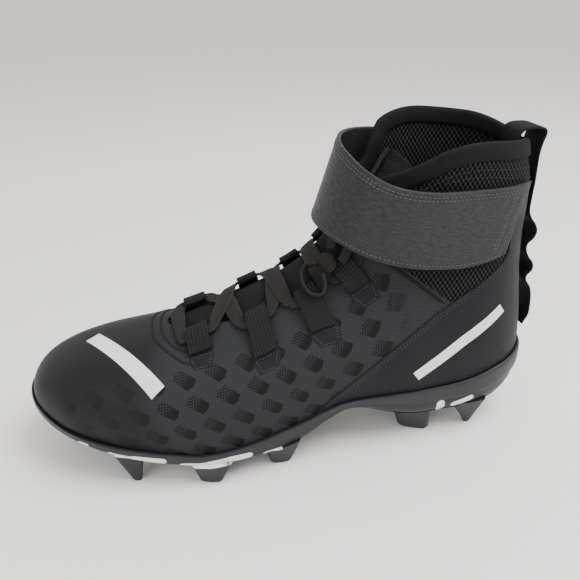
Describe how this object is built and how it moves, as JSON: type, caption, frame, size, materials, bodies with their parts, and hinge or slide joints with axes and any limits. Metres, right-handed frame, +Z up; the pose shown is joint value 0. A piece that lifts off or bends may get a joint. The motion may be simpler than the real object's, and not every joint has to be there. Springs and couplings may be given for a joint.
{
  "type": "american_football_cleat",
  "caption": "Left american football cleat in black, with a raised collar, an ankle strap, flat laces through webbing loops and a moulded sole with studs.",
  "frame": {"origin": "on the floor, in the middle of the box round the shoe", "axes": "+X from heel to toe, +Y to the wearer's left (the outer side), +Z up"},
  "size_m": [0.3067, 0.1026, 0.1871],
  "materials": {
    "outsole": "satin",
    "upper": "matte",
    "tongue": "matte",
    "insole": "matte",
    "ankle_strap": "satin",
    "collar_rim": "matte",
    "heel_pull_loop": "matte",
    "webbing": "matte",
    "lace": "matte"
  },
  "bodies": {
    "root": {"outsole": "outsole", "insole": "insole", "upper": "upper", "tongue": "tongue", "ankle_strap": "ankle_strap", "collar_rim": "collar_rim", "heel_pull_loop": "heel_pull_loop", "lace_loop_outer_1": "webbing", "lace_loop_outer_2": "webbing", "lace_loop_outer_3": "webbing", "lace_loop_outer_4": "webbing", "lace_loop_inner_1": "webbing", "lace_loop_inner_2": "webbing", "lace_loop_inner_3": "webbing", "lace_loop_inner_4": "webbing", "lace": "lace", "lace_knot": "lace", "lace_bow": "lace", "lace_end_upper": "lace", "lace_end_lower": "lace"}
  },
  "joints": []
}
